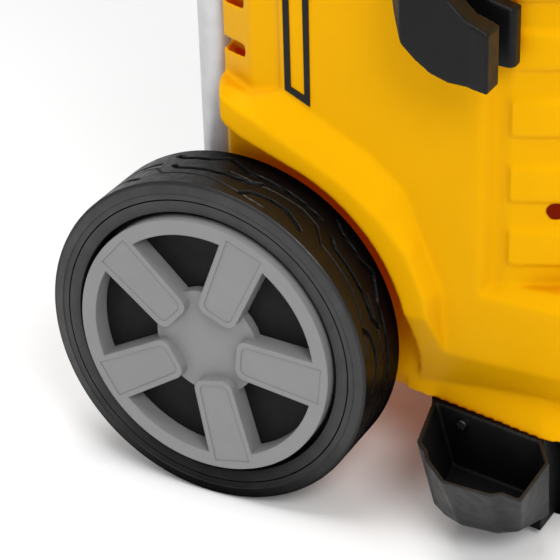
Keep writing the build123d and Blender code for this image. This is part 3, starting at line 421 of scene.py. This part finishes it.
def bevel_ribs(mesh):
    """Slope the top of each rib round the front corner."""
    flat = np.empty(len(mesh.vertices) * 3)
    mesh.vertices.foreach_get("co", flat)
    spots = flat.reshape(-1, 3) / MM
    side = np.where(spots[:, 0] < 0, -1.0, 1.0)
    across = np.abs(spots[:, 0])
    out = np.full(len(spots), -np.inf)
    push = np.zeros((len(spots), 2))
    for (x0, y0), (x1, y1) in zip(CORNER_PLAN, CORNER_PLAN[1:]):
        run = math.hypot(x1 - x0, y1 - y0)
        normal = ((y1 - y0) / run, -(x1 - x0) / run)
        beyond = (across - x0) * normal[0] + (spots[:, 1] - y0) * normal[1]
        nearer = beyond > out
        out[nearer] = beyond[nearer]
        push[nearer] = normal
    allowed = np.full(len(spots), np.inf)
    for top in RIB_TOPS:
        down = top + 1 - spots[:, 2]
        near = (down > -1) & (down < RIB_BEVEL + 1)
        allowed[near] = RIB_LIP + np.clip(down[near] / RIB_BEVEL, 0, 1) * RIB_OUT
    excess = np.where(spots[:, 1] < CORNER_BACK_Y, np.clip(out - allowed, 0, None), 0)
    spots[:, 0] -= excess * push[:, 0] * side
    spots[:, 1] -= excess * push[:, 1]
    mesh.vertices.foreach_set("co", (spots * MM).ravel())
    mesh.update()


def softened(node, voxel_mm, rounds, keep, shape=None):
    """The CAD node's shape with its edges melted round, as a moulded part has them.

    A shape function may change the even mesh first. Keep is the share of the triangles kept.
    """
    source = NODES[node].data.copy()
    work = bmesh.new()
    work.from_mesh(source)
    bmesh.ops.remove_doubles(work, verts=work.verts, dist=WELD_DISTANCE)
    work.to_mesh(source)
    work.free()
    draft = bpy.data.objects.new(node + "_draft", source)
    SCENE.collection.objects.link(draft)
    remesh = draft.modifiers.new("even", "REMESH")
    remesh.mode = "VOXEL"
    remesh.voxel_size = voxel_mm * MM
    remesh.use_smooth_shade = True
    if shape:
        apply_modifiers(draft)
        shape(draft.data)
    smooth = draft.modifiers.new("soft", "SMOOTH")
    smooth.factor = 0.5
    smooth.iterations = rounds
    thin = draft.modifiers.new("thin", "DECIMATE")
    thin.ratio = keep
    apply_modifiers(draft)
    mesh = draft.data
    bpy.data.objects.remove(draft)
    mesh.materials.clear()
    mesh.shade_smooth()
    return piece_from(node + "_shell", mesh, BODY_OF[node], SLOT_OF[node], node)


# ---- tyres ---------------------------------------------------------------------------------------
# Grooves of one repeat of the tread: depth, width, then (degrees round the wheel, mm in from the face).
TREAD = [
    (1.8, 3.0, [(103, 13), (106, 19), (112, 21.5), (118, 22), (125, 15)]),
    (1.8, 3.0, [(134, 33), (137, 28), (149, 28), (162, 27), (166, 33)]),
    (1.8, 3.0, [(92, 48), (100, 39), (118, 40), (127, 39)]),
    (1.8, 3.0, [(131, 50), (135, 45), (145, 44), (151, 50)]),
    (0.7, 1.2, [(121, 34), (128, 31), (133, 20), (150, 19), (166, 11), (172, 10)]),
    (0.7, 1.2, [(95, 33), (104, 30), (112, 32), (121, 34)]),
]
REPEATS = 6
TREAD_SPAN = 360 / REPEATS
TYRE_STEPS = 900                        # round the wheel
CROWN_STEPS = 92                        # across the tread
BEAD_X = 15.4                           # inner end of the sidewall, from the cap's face
OUTER_BEAD = 101.8
INNER_BEAD = 103.2
GROOVE_EDGE = 0.35                      # half the width of a groove's sloping side
TYRE_SHARP_ANGLE = 24
TREAD_SINK = 0.25                       # the tread stays this far inside the CAD tyre


def groove_depth(degrees, inboard):
    """How deep the tread is cut at each angle and each distance in from the wheel's face."""
    arc = math.radians(1) * TYRE_RADIUS / MM
    cut = np.zeros((len(degrees), len(inboard)))
    for depth, width, line in TREAD:
        for (a0, x0), (a1, x1) in zip(line, line[1:]):
            middle = (a0 + a1) / 2
            turn = (degrees - middle + TREAD_SPAN / 2) % TREAD_SPAN - TREAD_SPAN / 2
            u = (turn * arc)[:, None]
            v = inboard[None, :] - (x0 + x1) / 2
            half = np.array([(a1 - a0) * arc / 2, (x1 - x0) / 2])
            along = np.clip((u * half[0] + v * half[1]) / half.dot(half), -1, 1)
            away = np.hypot(u - along * half[0], v - along * half[1])
            wall = np.clip((width / 2 + GROOVE_EDGE - away) / (2 * GROOVE_EDGE), 0, 1)
            cut = np.maximum(cut, depth * wall)
    return cut


def tyre(side, node):
    """A tyre with a stepped sidewall and long bent grooves round its tread."""
    steps = TYRE_STEPS
    radius = TYRE_RADIUS / MM
    width = (TYRE_HIGH.x - TYRE_LOW.x) / MM
    face = (TYRE_LOW.x - CAP_LOW.x) / MM
    back = face + width
    # each spot of the section: distance in from the cap's face, and radius
    outer = [
        (BEAD_X, OUTER_BEAD), (face + 3, OUTER_BEAD), (face + 1.3, 104),
        (face + 0.9, 112.5), (face + 1.8, 113), (face + 0.9, 113.5),
        (face + 0.7, 117.6), (face + 0.1, 118.4), (face + 1.6, radius - 1.2), (face + 2.3, radius - 0.5),
    ]
    crown = np.linspace(face + 3.2, back - 3, CROWN_STEPS)
    inner = [
        (back - 1.2, radius - 1.6), (back - 0.1, radius - 5), (back, 112),
        (back - 1, 106), (back - 3, INNER_BEAD), (BEAD_X, INNER_BEAD),
    ]
    spots = np.array(outer + [(x, radius - TREAD_SINK) for x in crown] + inner)
    degrees = np.arange(steps) * 360 / steps
    reach = np.repeat(spots[None, :, 1], steps, axis=0)
    reach[:, len(outer):len(outer) + len(crown)] -= groove_depth(degrees, crown)
    turn = np.radians(degrees)[:, None]
    x = np.repeat(spots[None, :, 0], steps, axis=0) * MM
    x = CAP_LOW.x + x if side < 0 else -CAP_LOW.x - x
    y = HUB.y + reach * np.cos(turn) * MM
    z = HUB.z + reach * np.sin(turn) * MM
    count = len(spots)
    mesh = bpy.data.meshes.new(node + "_treaded")
    faces = []
    for i in range(steps):
        here = i * count
        there = (i + 1) % steps * count
        for j in range(count):
            after = (j + 1) % count
            faces.append((here + j, here + after, there + after, there + j))
    mesh.from_pydata(np.stack([x, y, z], axis=2).reshape(-1, 3).tolist(), [], faces)
    work = bmesh.new()
    work.from_mesh(mesh)
    bmesh.ops.recalc_face_normals(work, faces=work.faces)
    work.to_mesh(mesh)
    work.free()
    mesh.shade_smooth()
    mesh.set_sharp_from_angle(angle=math.radians(TYRE_SHARP_ANGLE))
    return piece_from(node + "_treaded", mesh, BODY_OF[node], "tyre_rubber", node)


def spring(node):
    """A copy of the CAD spring with a mesh of its own, on the body it rides on."""
    made = piece_from(node + "_coil", NODES[node].data.copy(), BODY_OF[node], SLOT_OF[node], node)
    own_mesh(made)


tyre(-1, "left_tyre")
tyre(1, "right_tyre")
for number in "123":
    spring("piston_spring_" + number)
spring("release_spring")

softened("left_housing", 1.5, 12, 0.35, bevel_ribs)
softened("right_housing", 1.8, 10, 0.3, bevel_ribs)
softened("lance_cup", 1.0, 5, 0.6)
softened("lance_holder", 1.2, 6, 0.6)
